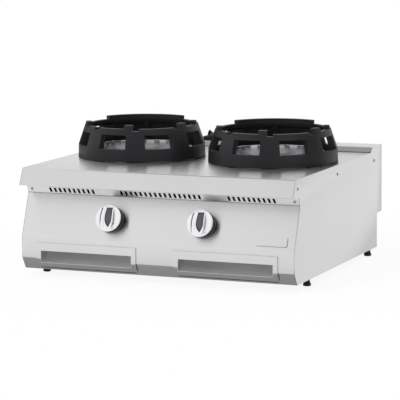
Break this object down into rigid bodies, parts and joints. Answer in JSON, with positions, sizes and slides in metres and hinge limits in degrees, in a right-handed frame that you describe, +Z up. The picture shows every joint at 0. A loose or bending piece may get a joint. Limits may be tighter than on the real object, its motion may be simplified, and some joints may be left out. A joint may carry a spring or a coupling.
{
  "type": "wok range",
  "caption": "Countertop gas wok range: folded steel casing, open burners in cast wok rings, push-and-turn knobs, pull-out drip trays, rear flue grate and levelling feet.",
  "frame": {"origin": "middle of the whole footprint, knobs included, on the surface that the feet stand on", "axes": "+X to the right along the front, +Y to the rear, +Z up"},
  "size_m": [0.8, 0.7402, 0.4025],
  "materials": {
    "satin_steel": "satin stainless sheet",
    "plain_steel": "mill finish sheet and bar",
    "polished_steel": "polished spun sheet",
    "chrome": "bright chrome",
    "cast_iron": "black enamelled casting",
    "brass": "machined",
    "black_plastic": "glossy black",
    "grey_plastic": "satin dark grey"
  },
  "bodies": {
    "root": {"worktop": "satin_steel", "left_side_panel": "satin_steel", "right_side_panel": "satin_steel", "front_fascia": "satin_steel", "vent_strip": "satin_steel", "base_pan": "plain_steel", "rear_panel": "satin_steel", "rear_ledge": "satin_steel", "flue_duct": "plain_steel", "heat_deck": "plain_steel", "valve_rail": "plain_steel", "gas_manifold": "plain_steel", "gas_inlet": "brass", "left_burner_collar": "polished_steel", "left_burner_bowl": "polished_steel", "left_burner_body": "cast_iron", "left_burner_stand": "plain_steel", "left_pilot_burner": "brass", "left_thermocouple": "brass", "left_injector": "brass", "left_gas_tap": "brass", "left_supply_tube": "plain_steel", "left_tray_cradle": "plain_steel", "left_strip_screw": "plain_steel", "right_burner_collar": "polished_steel", "right_burner_bowl": "polished_steel", "right_burner_body": "cast_iron", "right_burner_stand": "plain_steel", "right_pilot_burner": "brass", "right_thermocouple": "brass", "right_injector": "brass", "right_gas_tap": "brass", "right_supply_tube": "plain_steel", "right_tray_cradle": "plain_steel", "right_strip_screw": "plain_steel"},
    "left_ring": {"left_wok_ring": "cast_iron"},
    "right_ring": {"right_wok_ring": "cast_iron"},
    "left_burner_top": {"left_burner_head": "cast_iron", "left_burner_cap": "brass"},
    "right_burner_top": {"right_burner_head": "cast_iron", "right_burner_cap": "brass"},
    "grate": {"flue_grate": "cast_iron"},
    "left_plunger": {"left_tap_plunger": "plain_steel"},
    "right_plunger": {"right_tap_plunger": "plain_steel"},
    "left_knob": {"left_tap_spindle": "plain_steel", "left_knob_body": "black_plastic", "left_knob_cap": "chrome", "left_knob_insert": "grey_plastic"},
    "right_knob": {"right_tap_spindle": "plain_steel", "right_knob_body": "black_plastic", "right_knob_cap": "chrome", "right_knob_insert": "grey_plastic"},
    "left_tray": {"left_tray_front": "satin_steel", "left_drip_tray": "plain_steel"},
    "right_tray": {"right_tray_front": "satin_steel", "right_drip_tray": "plain_steel"},
    "front_left_foot_body": {"front_left_foot": "black_plastic"},
    "rear_left_foot_body": {"rear_left_foot": "black_plastic"},
    "front_right_foot_body": {"front_right_foot": "black_plastic"},
    "rear_right_foot_body": {"rear_right_foot": "black_plastic"}
  },
  "joints": [
    {"name": "left_ring_lift", "type": "slide", "parent": "root", "child": "left_ring", "axis": [0, 0, 1], "range_m": [0, 0.2]},
    {"name": "right_ring_lift", "type": "slide", "parent": "root", "child": "right_ring", "axis": [0, 0, 1], "range_m": [0, 0.2]},
    {"name": "left_burner_lift", "type": "slide", "parent": "root", "child": "left_burner_top", "axis": [0, 0, 1], "range_m": [0, 0.12]},
    {"name": "right_burner_lift", "type": "slide", "parent": "root", "child": "right_burner_top", "axis": [0, 0, 1], "range_m": [0, 0.12]},
    {"name": "grate_lift", "type": "slide", "parent": "root", "child": "grate", "axis": [0, 0, 1], "range_m": [0, 0.06]},
    {"name": "left_knob_push", "type": "slide", "parent": "root", "child": "left_plunger", "axis": [0, 0.9365, -0.3507], "range_m": [0, 0.003], "stiffness_N_per_m": 1500, "springref_m": -0.004},
    {"name": "right_knob_push", "type": "slide", "parent": "root", "child": "right_plunger", "axis": [0, 0.9365, -0.3507], "range_m": [0, 0.003], "stiffness_N_per_m": 1500, "springref_m": -0.004},
    {"name": "left_knob_turn", "type": "hinge", "parent": "left_plunger", "child": "left_knob", "pos_m": [-0.134, -0.33013, 0.166], "axis": [0, -0.9365, 0.3507], "range_deg": [0, 180]},
    {"name": "right_knob_turn", "type": "hinge", "parent": "right_plunger", "child": "right_knob", "pos_m": [0.134, -0.33013, 0.166], "axis": [0, -0.9365, 0.3507], "range_deg": [0, 180]},
    {"name": "left_tray_slide", "type": "slide", "parent": "root", "child": "left_tray", "axis": [0, -1, 0], "range_m": [0, 0.45]},
    {"name": "right_tray_slide", "type": "slide", "parent": "root", "child": "right_tray", "axis": [0, -1, 0], "range_m": [0, 0.45]},
    {"name": "front_left_foot_turn", "type": "hinge", "parent": "root", "child": "front_left_foot_body", "pos_m": [-0.37, -0.26091, 0.01], "axis": [0, 0, 1], "continuous": true},
    {"name": "rear_left_foot_turn", "type": "hinge", "parent": "root", "child": "rear_left_foot_body", "pos_m": [-0.387, 0.28209, 0.01], "axis": [0, 0, 1], "continuous": true},
    {"name": "front_right_foot_turn", "type": "hinge", "parent": "root", "child": "front_right_foot_body", "pos_m": [0.387, -0.22291, 0.01], "axis": [0, 0, 1], "continuous": true},
    {"name": "rear_right_foot_turn", "type": "hinge", "parent": "root", "child": "rear_right_foot_body", "pos_m": [0.387, 0.28209, 0.01], "axis": [0, 0, 1], "continuous": true}
  ]
}
